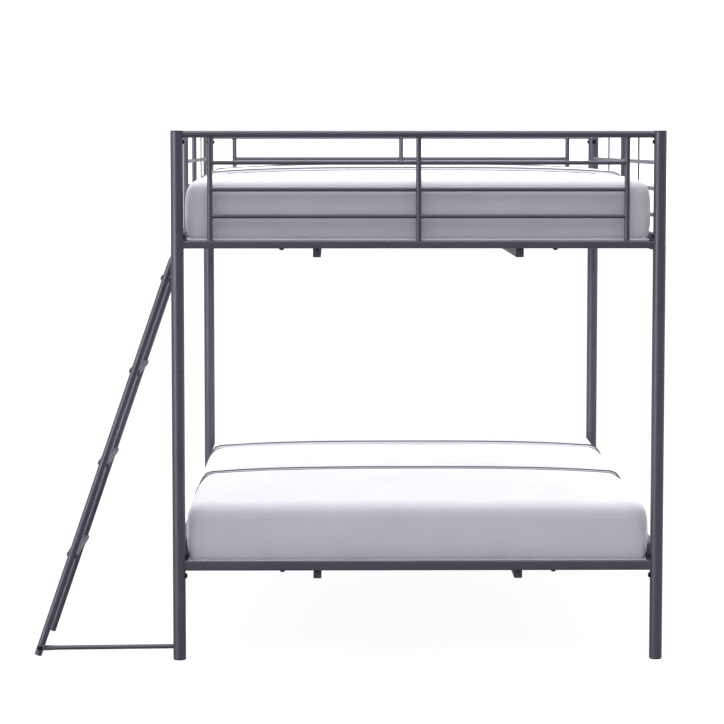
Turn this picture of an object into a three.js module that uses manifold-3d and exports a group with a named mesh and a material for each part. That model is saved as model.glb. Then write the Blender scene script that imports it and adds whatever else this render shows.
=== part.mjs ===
// Metal full-over-full bunk bed with a leaning ladder, in millimetres, +Z up.
// X runs across the bed (ladder on the -X side), Y along it (ladder at the -Y end).
// Everything is placed about the middle of the bed on the floor; the last lines
// move the whole group so that its box stands centred on the origin.
import * as THREE from "three";
import { mergeVertices } from "three/addons/utils/BufferGeometryUtils.js";
import Module from "manifold-3d";

// ---- Driving dimensions ----

const GAP = 0.3; // left between pieces that touch or are welded
const SNAP = 1e-3; // vertices closer than this are one vertex
const OVERRUN = 1; // how far a cutting solid runs past what it cuts

// Corner posts: round tube in two lengths, the lower one necked to enter the upper
const POST_RADIUS = 19;
const POST_WALL = 1.2;
const POST_X = 711.5;
const POST_Y = 967.5;
const POST_SPLIT_Z = 864;
const POST_NECK_LENGTH = 70;
const FOOT_THICKNESS = 4;
const BED_HEIGHT = 1575;
const CAP_THICKNESS = 2.5;
const CAP_PLUG_DEPTH = 18;

// Guards around the top bunk
const TOP_TUBE_RADIUS = 11;
const TOP_TUBE_Z = BED_HEIGHT - TOP_TUBE_RADIUS;
const GUARD_TUBE_RADIUS = 7.95;
const GUARD_TUBE_Z = TOP_TUBE_Z;
const BAR_RADIUS = 6.35;
const BAR_HEIGHTS = [1322.5, 1401.5, 1480];
const THIN_TUBE_WALL = 1;
const END_UPRIGHT_X = 615;
const STRAP_THICKNESS = 4;
const STRAP_WIDTH = 20;
const STRAP_Y = 435;
const ENTRY_Y = -492.5; // the ladder entry lies between this upright and the front post
const ELBOW_RADIUS = 28;

// Rails that carry the two decks: z of the top of each rail and of the slats
const BUNKS = {
  upper: {
    endRailTop: 1249,
    endRailHeight: 21,
    sideRailTop: 1269,
    sideRailHeight: 50,
    deckTop: 1247,
  },
  lower: {
    endRailTop: 297,
    endRailHeight: 28,
    sideRailTop: 335,
    sideRailHeight: 62,
    deckTop: 287,
  },
};
const END_RAIL_WIDTH = 20;
const SIDE_RAIL_WIDTH = 20;
const RAIL_WALL = 1.2;
const LEDGE_REACH = 18;
const LEDGE_THICKNESS = 2.5;
const LEDGE_END_Y = 935;

// Slat decks: cross slats welded on two long bearers
const SLAT_COUNT = 13;
const SLAT_WIDTH = 30;
const SLAT_THICKNESS = 10;
const SLAT_SPAN_Y = 900; // y of the last slat's middle
const SLAT_END_CLEARANCE = 1;
const BEARER_X = 300;
const BEARER_WIDTH = 24;
const BEARER_DROP = 27; // below the end rails
const BEARER_END_CLEARANCE = 2;
const DECK_WALL = 1;

// Mattresses
const MATTRESS_WIDTH = 1372;
const MATTRESS_LENGTH = 1905;
const MATTRESS_HEIGHT = 212;
const MATTRESS_EDGE = 40;
const MATTRESS_CORNER = 60;

// Ladder: two leaning rails, four treads and a brace to the front left post
const LADDER_RADIUS = 11;
const LADDER_WALL = 1.2;
const LADDER_FOOT = { x: -1141, z: 3.9 };
const LADDER_TOP = { x: -725.7, z: 1204 };
const LADDER_Y = [-911, -518];
const TAB_WIDTH = 26;
const TAB_THICKNESS = 4;
const TAB_TOP_Z = 1258;
const TREAD_HEIGHTS = [305, 581, 857, 1134.5];
const TREAD_DEPTH = 32; // square to the rails, so that the treads lean with them
const TREAD_THICKNESS = 14;
const TREAD_WALL = 1.2;
const BRACE_RADIUS = 8;
const BRACE_WALL = 1;
const BRACE_FOOT_Z = 28; // at the ladder
const BRACE_POST = { y: -955, z: 38 }; // where it meets the post
const BRACE_FLAT = { before: 9, after: 34, height: 17, thickness: 5 }; // round its bolt

// Facets round a full circle
const POST_FACETS = 16;
const TUBE_FACETS = 10;
const ELBOW_STEPS = 6;
const MATTRESS_FACETS = 3; // to each rounded edge and corner

// ---- Materials ----

const paintedSteel = () =>
  new THREE.MeshStandardMaterial({ color: 0x4f4f5b, roughness: 0.45, metalness: 0.3 });
const blackPlastic = () =>
  new THREE.MeshStandardMaterial({ color: 0x17171b, roughness: 0.5, metalness: 0 });
const whiteFabric = () =>
  new THREE.MeshStandardMaterial({ color: 0xf2f2f4, roughness: 0.95, metalness: 0 });

// ---- Solids and cuts ----

const wasm = await Module();
wasm.setup();

function toSolid(geometry) {
  const bare = geometry.clone();
  bare.deleteAttribute("normal");
  bare.deleteAttribute("uv");
  const merged = mergeVertices(bare, SNAP);
  return new wasm.Manifold(
    new wasm.Mesh({
      numProp: 3,
      vertProperties: merged.attributes.position.array,
      triVerts: new Uint32Array(merged.index.array),
    }),
  );
}

function toGeometry(solid) {
  const mesh = solid.getMesh();
  const geometry = new THREE.BufferGeometry();
  geometry.setAttribute("position", new THREE.BufferAttribute(mesh.vertProperties, 3));
  geometry.setIndex(new THREE.BufferAttribute(mesh.triVerts, 1));
  geometry.computeVertexNormals();
  return geometry;
}

const point = (x, y, z) => new THREE.Vector3(x, y, z);

// A bar's own frame: Z along it, Y as near to upright as it can be.
function barFrame(from, to) {
  const along = to.clone().sub(from).normalize();
  const vertical = Math.hypot(along.x, along.y) < SNAP;
  const upright = vertical ? point(0, 1, 0) : point(0, 0, 1);
  const across = new THREE.Vector3().crossVectors(upright, along).normalize();
  const up = new THREE.Vector3().crossVectors(along, across);
  return new THREE.Matrix4().makeBasis(across, up, along).setPosition(from);
}

function ring(radius, wall) {
  const shape = new THREE.Shape().absarc(0, 0, radius, 0, 2 * Math.PI);
  if (wall) {
    shape.holes.push(new THREE.Path().absarc(0, 0, radius - wall, 0, 2 * Math.PI));
  }
  return shape;
}

function rectanglePath(path, width, height) {
  path.moveTo(-width / 2, -height / 2);
  path.lineTo(width / 2, -height / 2);
  path.lineTo(width / 2, height / 2);
  path.lineTo(-width / 2, height / 2);
  path.closePath();
  return path;
}

function rectangle(width, height, wall) {
  const shape = rectanglePath(new THREE.Shape(), width, height);
  if (wall) {
    const hole = rectanglePath(new THREE.Path(), width - 2 * wall, height - 2 * wall);
    shape.holes.push(hole);
  }
  return shape;
}

function extrude(section, length, facets = TUBE_FACETS) {
  return new THREE.ExtrudeGeometry(section, {
    depth: length,
    bevelEnabled: false,
    curveSegments: facets / 2,
  });
}

// The solid of a section swept straight between two points, in the bed's frame.
function barSolid(section, from, to, facets) {
  const geometry = extrude(section, from.distanceTo(to), facets);
  return toSolid(geometry.applyMatrix4(barFrame(from, to)));
}

function boxSolid(low, high) {
  const size = high.clone().sub(low);
  const middle = low.clone().add(high).multiplyScalar(0.5);
  const box = new THREE.BoxGeometry(size.x, size.y, size.z);
  return toSolid(box.translate(middle.x, middle.y, middle.z));
}

// ---- The scene graph ----

const bed = new THREE.Group();

// Adds a solid made in the bed's frame as a mesh of its own, placed at origin.
function addSolid(name, solid, origin, material) {
  const geometry = toGeometry(solid).translate(-origin.x, -origin.y, -origin.z);
  const mesh = new THREE.Mesh(geometry, material());
  mesh.name = name;
  mesh.position.copy(origin);
  bed.add(mesh);
}

// Adds a straight bar, less the solids in cuts.
function addBar(name, section, from, to, cuts = []) {
  const whole = barSolid(section, from, to);
  const solid = cuts.reduce((left, cut) => left.subtract(cut), whole);
  addSolid(name, solid, from, paintedSteel);
}

// What a piece that meets a round tube is cut by, so that its end fits round it.
const saddle = (radius, from, to, facets) => barSolid(ring(radius + GAP, 0), from, to, facets);

const sides = [
  { name: "left", x: -POST_X, sign: -1 },
  { name: "right", x: POST_X, sign: 1 },
];
const ends = [
  { name: "front", y: -POST_Y, sign: -1 },
  { name: "rear", y: POST_Y, sign: 1 },
];

function postSaddle(side, end) {
  const bottom = point(side.x, end.y, -OVERRUN);
  const top = point(side.x, end.y, BED_HEIGHT + OVERRUN);
  return saddle(POST_RADIUS, bottom, top, POST_FACETS);
}

const postSaddles = sides.flatMap((side) => ends.map((end) => postSaddle(side, end)));

// ---- Posts ----

// Profiles run (radius, z) and turn about the post's axis.
function turned(profile) {
  const points = profile.map(([radius, z]) => new THREE.Vector2(radius, z));
  return new THREE.LatheGeometry(points, POST_FACETS).rotateX(Math.PI / 2);
}

function lowerPost() {
  const bore = POST_RADIUS - POST_WALL;
  const neck = bore - GAP;
  const neckBore = neck - POST_WALL;
  const neckTop = POST_SPLIT_Z + POST_NECK_LENGTH;
  return turned([
    [0, 0],
    [POST_RADIUS, 0],
    [POST_RADIUS, POST_SPLIT_Z],
    [neck, POST_SPLIT_Z],
    [neck, neckTop],
    [neckBore, neckTop],
    [neckBore, POST_SPLIT_Z - POST_WALL],
    [bore, POST_SPLIT_Z - 2 * POST_WALL],
    [bore, FOOT_THICKNESS],
    [0, FOOT_THICKNESS],
  ]);
}

function upperPost() {
  const bore = POST_RADIUS - POST_WALL;
  const bottom = POST_SPLIT_Z + GAP;
  const top = BED_HEIGHT - CAP_THICKNESS - GAP;
  return turned([
    [bore, bottom],
    [POST_RADIUS, bottom],
    [POST_RADIUS, top],
    [bore, top],
    [bore, bottom],
  ]);
}

function postCap() {
  const plug = POST_RADIUS - POST_WALL - GAP;
  const underside = BED_HEIGHT - CAP_THICKNESS;
  return turned([
    [0, underside - CAP_PLUG_DEPTH],
    [plug, underside - CAP_PLUG_DEPTH],
    [plug, underside],
    [POST_RADIUS, underside],
    [POST_RADIUS, BED_HEIGHT],
    [0, BED_HEIGHT],
  ]);
}

function addPosts() {
  const pieces = [
    { name: "lower_post", make: lowerPost, material: paintedSteel },
    { name: "upper_post", make: upperPost, material: paintedSteel },
    { name: "post_cap", make: postCap, material: blackPlastic },
  ];
  for (const piece of pieces) {
    for (const side of sides) {
      for (const end of ends) {
        const mesh = new THREE.Mesh(piece.make(), piece.material());
        mesh.name = `${piece.name}_${end.name}_${side.name}`;
        mesh.position.set(side.x, end.y, 0);
        bed.add(mesh);
      }
    }
  }
}

// ---- Ends of the bed ----

function addEndGuard(end) {
  const across = (x, z) => point(x, end.y, z);
  const from = across(-POST_X, TOP_TUBE_Z);
  const to = across(POST_X, TOP_TUBE_Z);
  const topTube = saddle(TOP_TUBE_RADIUS, from, to);
  addBar(`${end.name}_top_tube`, ring(TOP_TUBE_RADIUS, POST_WALL), from, to, postSaddles);
  const railTop = BUNKS.upper.endRailTop + GAP;
  const uprights = { left: -END_UPRIGHT_X, middle: 0, right: END_UPRIGHT_X };
  const barHoles = BAR_HEIGHTS.map((z) =>
    saddle(BAR_RADIUS, across(-2 * GUARD_TUBE_RADIUS, z), across(2 * GUARD_TUBE_RADIUS, z)),
  );
  for (const [place, x] of Object.entries(uprights)) {
    const holes = place === "middle" ? barHoles : [];
    addBar(
      `${end.name}_guard_upright_${place}`,
      ring(GUARD_TUBE_RADIUS, THIN_TUBE_WALL),
      across(x, railTop),
      across(x, TOP_TUBE_Z),
      [topTube, ...holes],
    );
  }
  const outerUprights = [-END_UPRIGHT_X, END_UPRIGHT_X].map((x) =>
    saddle(GUARD_TUBE_RADIUS, across(x, railTop), across(x, TOP_TUBE_Z)),
  );
  BAR_HEIGHTS.forEach((z, row) => {
    addBar(
      `${end.name}_guard_bar_${row + 1}`,
      ring(BAR_RADIUS, THIN_TUBE_WALL),
      across(-END_UPRIGHT_X, z),
      across(END_UPRIGHT_X, z),
      outerUprights,
    );
  });
}

function addEndRails(end) {
  for (const [bunk, { endRailTop, endRailHeight }] of Object.entries(BUNKS)) {
    const z = endRailTop - endRailHeight / 2;
    addBar(
      `${end.name}_rail_${bunk}`,
      rectangle(END_RAIL_WIDTH, endRailHeight, RAIL_WALL),
      point(-POST_X, end.y, z),
      point(POST_X, end.y, z),
      postSaddles,
    );
  }
}

// ---- Side rails ----

function addSideRails(side) {
  for (const [bunk, { sideRailTop, sideRailHeight, deckTop }] of Object.entries(BUNKS)) {
    const z = sideRailTop - sideRailHeight / 2;
    const from = point(side.x, -POST_Y, z);
    const to = point(side.x, POST_Y, z);
    const section = rectangle(SIDE_RAIL_WIDTH, sideRailHeight, RAIL_WALL);
    const tube = barSolid(section, from, to);
    const cut = postSaddles.reduce((left, post) => left.subtract(post), tube);
    const inner = POST_X - SIDE_RAIL_WIDTH / 2;
    const reach = [side.sign * (inner - LEDGE_REACH), side.sign * (inner + RAIL_WALL / 2)];
    const ledgeTop = deckTop - SLAT_THICKNESS - GAP;
    const ledge = boxSolid(
      point(Math.min(...reach), -LEDGE_END_Y, ledgeTop - LEDGE_THICKNESS),
      point(Math.max(...reach), LEDGE_END_Y, ledgeTop),
    );
    addSolid(`side_rail_${bunk}_${side.name}`, cut.add(ledge), from, paintedSteel);
  }
}

// ---- Side guards ----

const guardUprightSection = ring(GUARD_TUBE_RADIUS, THIN_TUBE_WALL);
const GUARD_BOTTOM = BUNKS.upper.sideRailTop + GAP;

// The middle upright is pierced by the bars; the flat straps pass through slots in them.
function addGuardUprights(side, label, straps, topTube) {
  const holes = BAR_HEIGHTS.map((z) =>
    saddle(BAR_RADIUS, point(side.x, -POST_Y, z), point(side.x, POST_Y, z)),
  );
  addBar(
    `${label}_upright_middle`,
    guardUprightSection,
    point(side.x, 0, GUARD_BOTTOM),
    point(side.x, 0, GUARD_TUBE_Z),
    [topTube, ...holes],
  );
  for (const [place, y] of Object.entries(straps)) {
    addBar(
      `${label}_strap_${place}`,
      rectangle(STRAP_THICKNESS, STRAP_WIDTH, 0),
      point(side.x, y, GUARD_BOTTOM),
      point(side.x, y, GUARD_TUBE_Z),
      [topTube],
    );
  }
}

function strapSlots(side, straps) {
  const section = rectangle(STRAP_THICKNESS + 2 * GAP, STRAP_WIDTH + 2 * GAP, 0);
  return Object.values(straps).map((y) =>
    barSolid(section, point(side.x, y, GUARD_BOTTOM), point(side.x, y, GUARD_TUBE_Z)),
  );
}

function addGuardBars(side, label, startY, cuts) {
  BAR_HEIGHTS.forEach((z, row) => {
    addBar(
      `${label}_bar_${row + 1}`,
      ring(BAR_RADIUS, THIN_TUBE_WALL),
      point(side.x, startY, z),
      point(side.x, POST_Y, z),
      [...postSaddles, ...cuts],
    );
  });
}

// The closed guard on the side away from the ladder.
function addBackGuard(side) {
  const label = "back_guard";
  const from = point(side.x, -POST_Y, GUARD_TUBE_Z);
  const to = point(side.x, POST_Y, GUARD_TUBE_Z);
  addBar(`${label}_top_tube`, guardUprightSection, from, to, postSaddles);
  const topTube = saddle(GUARD_TUBE_RADIUS, from, to);
  const straps = { front: -STRAP_Y, rear: STRAP_Y };
  addGuardUprights(side, label, straps, topTube);
  addGuardBars(side, label, -POST_Y, strapSlots(side, straps));
}

// A quarter bend from the end upright up into the guard's top tube.
function elbowSolid(side) {
  const foot = point(side.x, ENTRY_Y, GUARD_TUBE_Z - ELBOW_RADIUS);
  const corner = point(side.x, ENTRY_Y, GUARD_TUBE_Z);
  const exit = point(side.x, ENTRY_Y + ELBOW_RADIUS, GUARD_TUBE_Z);
  const geometry = new THREE.ExtrudeGeometry(guardUprightSection, {
    steps: ELBOW_STEPS,
    extrudePath: new THREE.QuadraticBezierCurve3(foot, corner, exit),
    curveSegments: TUBE_FACETS / 2,
  });
  return toSolid(geometry);
}

// The guard on the ladder side, which starts past the ladder entry.
function addLadderSideGuard(side) {
  const label = "entry_guard";
  const from = point(side.x, ENTRY_Y + ELBOW_RADIUS - OVERRUN, GUARD_TUBE_Z);
  const to = point(side.x, POST_Y, GUARD_TUBE_Z);
  const straight = barSolid(guardUprightSection, from, to);
  const cut = postSaddles.reduce((left, post) => left.subtract(post), straight);
  addSolid(`${label}_top_tube`, cut.add(elbowSolid(side)), from, paintedSteel);
  addBar(
    `${label}_upright_end`,
    guardUprightSection,
    point(side.x, ENTRY_Y, GUARD_BOTTOM),
    point(side.x, ENTRY_Y, GUARD_TUBE_Z - ELBOW_RADIUS - GAP),
  );
  const topTube = saddle(GUARD_TUBE_RADIUS, from, to);
  const straps = { rear: STRAP_Y };
  addGuardUprights(side, label, straps, topTube);
  const endUpright = saddle(
    GUARD_TUBE_RADIUS,
    point(side.x, ENTRY_Y, GUARD_BOTTOM),
    point(side.x, ENTRY_Y, GUARD_TUBE_Z),
  );
  addGuardBars(side, label, ENTRY_Y, [endUpright, ...strapSlots(side, straps)]);
}

// ---- Slat decks ----

// A deck is a list of boxes: open-ended rectangular tubes, joined where they cross.
function deckTubes({ deckTop, endRailTop, endRailHeight }) {
  const slatBottom = deckTop - SLAT_THICKNESS;
  const bearerBottom = endRailTop - endRailHeight - BEARER_DROP;
  const slatEndX = POST_X - SIDE_RAIL_WIDTH / 2 - SLAT_END_CLEARANCE;
  const bearerEndY = POST_Y - END_RAIL_WIDTH / 2 - BEARER_END_CLEARANCE;
  const tubes = [-BEARER_X, BEARER_X].map((x) => ({
    low: point(x - BEARER_WIDTH / 2, -bearerEndY, bearerBottom),
    high: point(x + BEARER_WIDTH / 2, bearerEndY, slatBottom + DECK_WALL / 2),
    open: point(0, 1, 0),
  }));
  for (let i = 0; i < SLAT_COUNT; i++) {
    const y = -SLAT_SPAN_Y + (2 * SLAT_SPAN_Y * i) / (SLAT_COUNT - 1);
    tubes.push({
      low: point(-slatEndX, y - SLAT_WIDTH / 2, slatBottom),
      high: point(slatEndX, y + SLAT_WIDTH / 2, deckTop),
      open: point(1, 0, 0),
    });
  }
  return tubes;
}

// What is hollowed out of a deck tube: its inside, run out past its two open ends.
function deckHollow({ low, high, open }) {
  const inset = point(DECK_WALL, DECK_WALL, DECK_WALL);
  inset.addScaledVector(open, -DECK_WALL - OVERRUN);
  return boxSolid(low.clone().add(inset), high.clone().sub(inset));
}

function deckSolid(levels) {
  const tubes = deckTubes(levels);
  const whole = tubes.map(({ low, high }) => boxSolid(low, high)).reduce((a, b) => a.add(b));
  return tubes.map(deckHollow).reduce((left, hollow) => left.subtract(hollow), whole);
}

function addDecks() {
  for (const [bunk, levels] of Object.entries(BUNKS)) {
    addSolid(`slat_deck_${bunk}`, deckSolid(levels), point(0, 0, levels.deckTop), paintedSteel);
  }
}

// ---- Mattresses ----

function mattressOutline() {
  const x = MATTRESS_WIDTH / 2 - MATTRESS_EDGE;
  const y = MATTRESS_LENGTH / 2 - MATTRESS_EDGE;
  const r = MATTRESS_CORNER - MATTRESS_EDGE;
  const shape = new THREE.Shape();
  shape.moveTo(-x + r, -y);
  shape.lineTo(x - r, -y);
  shape.absarc(x - r, -y + r, r, -Math.PI / 2, 0);
  shape.lineTo(x, y - r);
  shape.absarc(x - r, y - r, r, 0, Math.PI / 2);
  shape.lineTo(-x + r, y);
  shape.absarc(-x + r, y - r, r, Math.PI / 2, Math.PI);
  shape.lineTo(-x, -y + r);
  shape.absarc(-x + r, -y + r, r, Math.PI, 1.5 * Math.PI);
  return shape;
}

function addMattresses() {
  for (const [bunk, { deckTop }] of Object.entries(BUNKS)) {
    const geometry = new THREE.ExtrudeGeometry(mattressOutline(), {
      depth: MATTRESS_HEIGHT - 2 * MATTRESS_EDGE,
      bevelThickness: MATTRESS_EDGE,
      bevelSize: MATTRESS_EDGE,
      bevelSegments: MATTRESS_FACETS,
      curveSegments: MATTRESS_FACETS,
    });
    const mesh = new THREE.Mesh(geometry, whiteFabric());
    mesh.name = `mattress_${bunk}`;
    mesh.position.set(0, 0, deckTop + GAP + MATTRESS_EDGE);
    bed.add(mesh);
  }
}

// ---- Ladder ----

const ladderSlope = (LADDER_TOP.x - LADDER_FOOT.x) / (LADDER_TOP.z - LADDER_FOOT.z);
const ladderX = (z) => LADDER_FOOT.x + (z - LADDER_FOOT.z) * ladderSlope;

// The flattened top of a ladder rail, bolted to the outside of the upper side rail.
function ladderTab(y) {
  const face = -POST_X - SIDE_RAIL_WIDTH / 2 - GAP;
  const low = LADDER_TOP.z - TAB_WIDTH;
  const profile = new THREE.Shape();
  profile.moveTo(ladderX(low) - LADDER_RADIUS / 2, low);
  profile.lineTo(ladderX(low) + LADDER_RADIUS / 2, low);
  profile.lineTo(face, LADDER_TOP.z + TAB_THICKNESS);
  profile.lineTo(face, TAB_TOP_Z);
  profile.lineTo(face - TAB_THICKNESS, TAB_TOP_Z);
  profile.lineTo(face - TAB_THICKNESS, LADDER_TOP.z + 2 * TAB_THICKNESS);
  profile.lineTo(LADDER_TOP.x - LADDER_RADIUS, LADDER_TOP.z);
  profile.closePath();
  const tab = extrude(profile, TAB_WIDTH).rotateX(Math.PI / 2);
  return toSolid(tab.translate(0, y + TAB_WIDTH / 2, 0));
}

function addLadderRails() {
  const section = ring(LADDER_RADIUS, LADDER_WALL);
  LADDER_Y.forEach((y, index) => {
    const foot = point(LADDER_FOOT.x, y, LADDER_FOOT.z);
    const top = point(LADDER_TOP.x, y, LADDER_TOP.z);
    const rail = barSolid(section, foot, top).add(ladderTab(y));
    addSolid(`ladder_rail_${ends[index].name}`, rail, foot, paintedSteel);
  });
}

function addTreads() {
  const front = LADDER_Y[0] + LADDER_RADIUS + GAP;
  const rear = LADDER_Y[1] - LADDER_RADIUS - GAP;
  const section = rectangle(TREAD_DEPTH, TREAD_THICKNESS, TREAD_WALL);
  TREAD_HEIGHTS.forEach((z, index) => {
    const tread = extrude(section, rear - front).rotateX(-Math.PI / 2);
    tread.rotateY(Math.atan(ladderSlope)).translate(ladderX(z), front, z);
    addSolid(`ladder_tread_${index + 1}`, toSolid(tread), point(ladderX(z), front, z), paintedSteel);
  });
}

// The brace ties the front ladder rail's foot to the front left post. Its flattened
// end lies on the rail's near side.
function addBrace() {
  const boltX = ladderX(BRACE_FOOT_Z);
  const faceY = LADDER_Y[0] - LADDER_RADIUS - GAP;
  const flatBottom = BRACE_FOOT_Z - BRACE_FLAT.height / 2;
  const flat = boxSolid(
    point(boltX - BRACE_FLAT.before, faceY - BRACE_FLAT.thickness, flatBottom),
    point(boltX + BRACE_FLAT.after, faceY, flatBottom + BRACE_FLAT.height),
  );
  const start = point(boltX + BRACE_FLAT.after / 2, faceY - BRACE_FLAT.thickness / 2, BRACE_FOOT_Z);
  const end = point(-POST_X, BRACE_POST.y, BRACE_POST.z);
  const tube = barSolid(ring(BRACE_RADIUS, BRACE_WALL), start, end);
  const foot = point(ladderX(0), LADDER_Y[0], 0);
  const lowestTread = TREAD_HEIGHTS[0];
  const rail = saddle(LADDER_RADIUS, foot, point(ladderX(lowestTread), LADDER_Y[0], lowestTread));
  const brace = tube.add(flat).subtract(rail).subtract(postSaddles[0]);
  addSolid("ladder_brace", brace, start, paintedSteel);
}

// ---- The bed ----

addPosts();
ends.forEach((end) => {
  addEndGuard(end);
  addEndRails(end);
});
sides.forEach(addSideRails);
addLadderSideGuard(sides[0]);
addBackGuard(sides[1]);
addDecks();
addMattresses();
addLadderRails();
addTreads();
addBrace();

const box = new THREE.Box3().setFromObject(bed, true);
const middle = box.getCenter(new THREE.Vector3());
bed.position.set(-middle.x, -middle.y, -box.min.z);

export default bed;
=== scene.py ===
import math

import bpy
import numpy as np
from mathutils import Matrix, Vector


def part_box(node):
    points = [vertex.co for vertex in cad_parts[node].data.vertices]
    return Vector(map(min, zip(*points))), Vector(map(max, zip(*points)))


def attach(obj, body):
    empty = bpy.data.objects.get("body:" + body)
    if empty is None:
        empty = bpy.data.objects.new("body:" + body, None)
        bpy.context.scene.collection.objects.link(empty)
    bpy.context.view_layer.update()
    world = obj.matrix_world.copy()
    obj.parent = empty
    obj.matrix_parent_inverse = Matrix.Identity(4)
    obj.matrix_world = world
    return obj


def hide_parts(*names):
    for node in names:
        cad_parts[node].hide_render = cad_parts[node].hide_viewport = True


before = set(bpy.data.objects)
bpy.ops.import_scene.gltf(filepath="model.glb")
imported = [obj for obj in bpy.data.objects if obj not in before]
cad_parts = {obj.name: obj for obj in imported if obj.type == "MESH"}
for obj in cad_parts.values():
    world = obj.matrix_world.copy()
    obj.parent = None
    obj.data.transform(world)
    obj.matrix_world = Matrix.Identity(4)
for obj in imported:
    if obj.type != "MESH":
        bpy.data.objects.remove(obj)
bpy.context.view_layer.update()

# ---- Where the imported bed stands: its centre on the floor, from the corner posts ----


def node_middle(name):
    low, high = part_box(name)
    return (low + high) / 2


LEFT, RIGHT = "left", "right"
FRONT, REAR = "front", "rear"
SIDES = {LEFT: -1, RIGHT: 1}
ENDS = {FRONT: -1, REAR: 1}

post_middles = {
    (end, side): node_middle(f"lower_post_{end}_{side}") for end in ENDS for side in SIDES
}
CENTRE = sum(post_middles.values(), Vector()) / len(post_middles)
POST_X = (post_middles[FRONT, RIGHT].x - post_middles[FRONT, LEFT].x) / 2
POST_Y = (post_middles[REAR, LEFT].y - post_middles[FRONT, LEFT].y) / 2


def at(x, y, z):
    """A point of the bed's own frame, whose origin is on the floor amid the posts."""
    return Vector((CENTRE.x + x, CENTRE.y + y, z))


X, Y, Z = Vector((1, 0, 0)), Vector((0, 1, 0)), Vector((0, 0, 1))

# ---- Sizes, in metres ----

post_low, post_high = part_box("lower_post_front_left")
POST_R = (post_high.x - post_low.x) / 2
POST_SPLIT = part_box("upper_post_front_left")[0].z
BED_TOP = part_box("post_cap_front_left")[1].z
POST_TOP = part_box("upper_post_front_left")[1].z
TOP_R = 0.011
GUARD_R = 0.00795
BAR_R = 0.00635
LADDER_R = 0.011
BRACE_R = 0.0068
TUBE_WALL = 0.0012
TOP_Z = BED_TOP - TOP_R
BAR_Z = [node_middle(f"front_guard_bar_{row}").z for row in (1, 2, 3)]
END_UPRIGHT_X = node_middle("front_guard_upright_right").x - CENTRE.x
STRAP_Y = node_middle("back_guard_strap_rear").y - CENTRE.y
ENTRY_Y = node_middle("entry_guard_upright_end").y - CENTRE.y
RAIL_W = 0.020
SMALL = 0.0004  # edge rounding of cut steel
WELD_R, WELD_RIPPLE, WELD_PITCH = 0.0021, 0.13, 0.0034
HOLD = 0.0015  # from a softened edge to the ring that keeps the long face flat
POST_BITE = 0.004  # how far a rail's end runs into its post
TUBE_BITE = 0.003  # how far a thin tube's end runs into another
FOOT_BITE = 0.002  # how far an upright's foot runs into its rail
SINK = 0.0004  # how far a bolt's washer sinks into the paint
UPRIGHT_WELD, ROD_WELD, FLAT_WELD = 0.0018, 0.0015, 0.0014
BUNKS = ("upper", "lower")

# ---- Mesh building ----


class Shape:
    """Vertices and faces gathered for one object."""

    def __init__(self):
        self.points = []
        self.faces = []

    def rings(self, rings, loop=False, cap_start=True, cap_end=True):
        """A skin over successive closed rings, all with the same number of points."""
        base, count, size = len(self.points), len(rings), len(rings[0])
        for ring in rings:
            self.points.extend(ring)
        for i in range(count if loop else count - 1):
            low, high = base + i * size, base + (i + 1) % count * size
            for j in range(size):
                k = (j + 1) % size
                self.faces.append((low + j, low + k, high + k, high + j))
        if not loop:
            if cap_start:
                self.faces.append(tuple(base + j for j in reversed(range(size))))
            if cap_end:
                last = base + (count - 1) * size
                self.faces.append(tuple(last + j for j in range(size)))
        return self


def linked(name, data):
    """A new object in the scene."""
    obj = bpy.data.objects.new(name, data)
    bpy.context.scene.collection.objects.link(obj)
    return obj


def make(shape, name, material, body="frame", nodes=(), smooth_angle=35):
    """The shape as an object that rides on a body and stands for CAD nodes."""
    mesh = bpy.data.meshes.new(name)
    mesh.from_pydata([tuple(p) for p in shape.points], [], shape.faces)
    mesh.validate()
    obj = linked(name, mesh)
    obj.data.materials.append(material)
    obj.data.shade_smooth()
    obj.data.set_sharp_from_angle(angle=math.radians(smooth_angle))
    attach(obj, body)
    if nodes:
        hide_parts(*nodes)
    return obj


def circle(radius, count=32):
    """A section: called with an inset, it gives a ring of (across, up) points."""

    def ring(inset=0.0):
        r = max(radius - inset, 1e-5)
        return [
            (r * math.cos(2 * math.pi * i / count), r * math.sin(2 * math.pi * i / count))
            for i in range(count)
        ]

    return ring


def rounded(width, height, radius, steps=4):
    """A rectangular section with rounded corners."""

    def ring(inset=0.0):
        w, h = width / 2 - inset, height / 2 - inset
        r = min(max(radius - inset, 2e-4), w * 0.99, h * 0.99)
        out = []
        for sx, sy, start in ((1, 1, 0), (-1, 1, 90), (-1, -1, 180), (1, -1, 270)):
            for i in range(steps + 1):
                a = math.radians(start + 90 * i / steps)
                out.append((sx * (w - r) + r * math.cos(a), sy * (h - r) + r * math.sin(a)))
        return out

    return ring


def basis(along, up=None):
    """Two directions across a bar, the second as near to up as it can be."""
    along = along.normalized()
    up = up or (Y if abs(along.z) > 0.999 else Z)
    across = up.cross(along).normalized()
    return across, along.cross(across)


def placed(ring, centre, across, up):
    return [centre + across * a + up * b for a, b in ring]


def closed_end(t, direction, inset=SMALL):
    """Stations (distance, inset) of an end that is closed flat with a softened edge."""
    steps = [
        (t, inset * 4),
        (t, inset),
        (t - direction * inset * 0.3, inset * 0.3),
        (t - direction * inset, 0),
        (t - direction * (inset + HOLD), 0),
    ]
    return steps if direction < 0 else steps[::-1]


def open_end(t, direction, wall=TUBE_WALL, depth=0.03, edge=0.00035):
    """Stations of a cut tube's open end, with its bore as far as depth."""
    steps = [
        (t - direction * depth, wall),
        (t - direction * edge, wall),
        (t, wall - edge),
        (t, edge),
        (t - direction * edge, 0),
        (t - direction * (edge + HOLD), 0),
    ]
    return steps if direction < 0 else steps[::-1]


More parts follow.
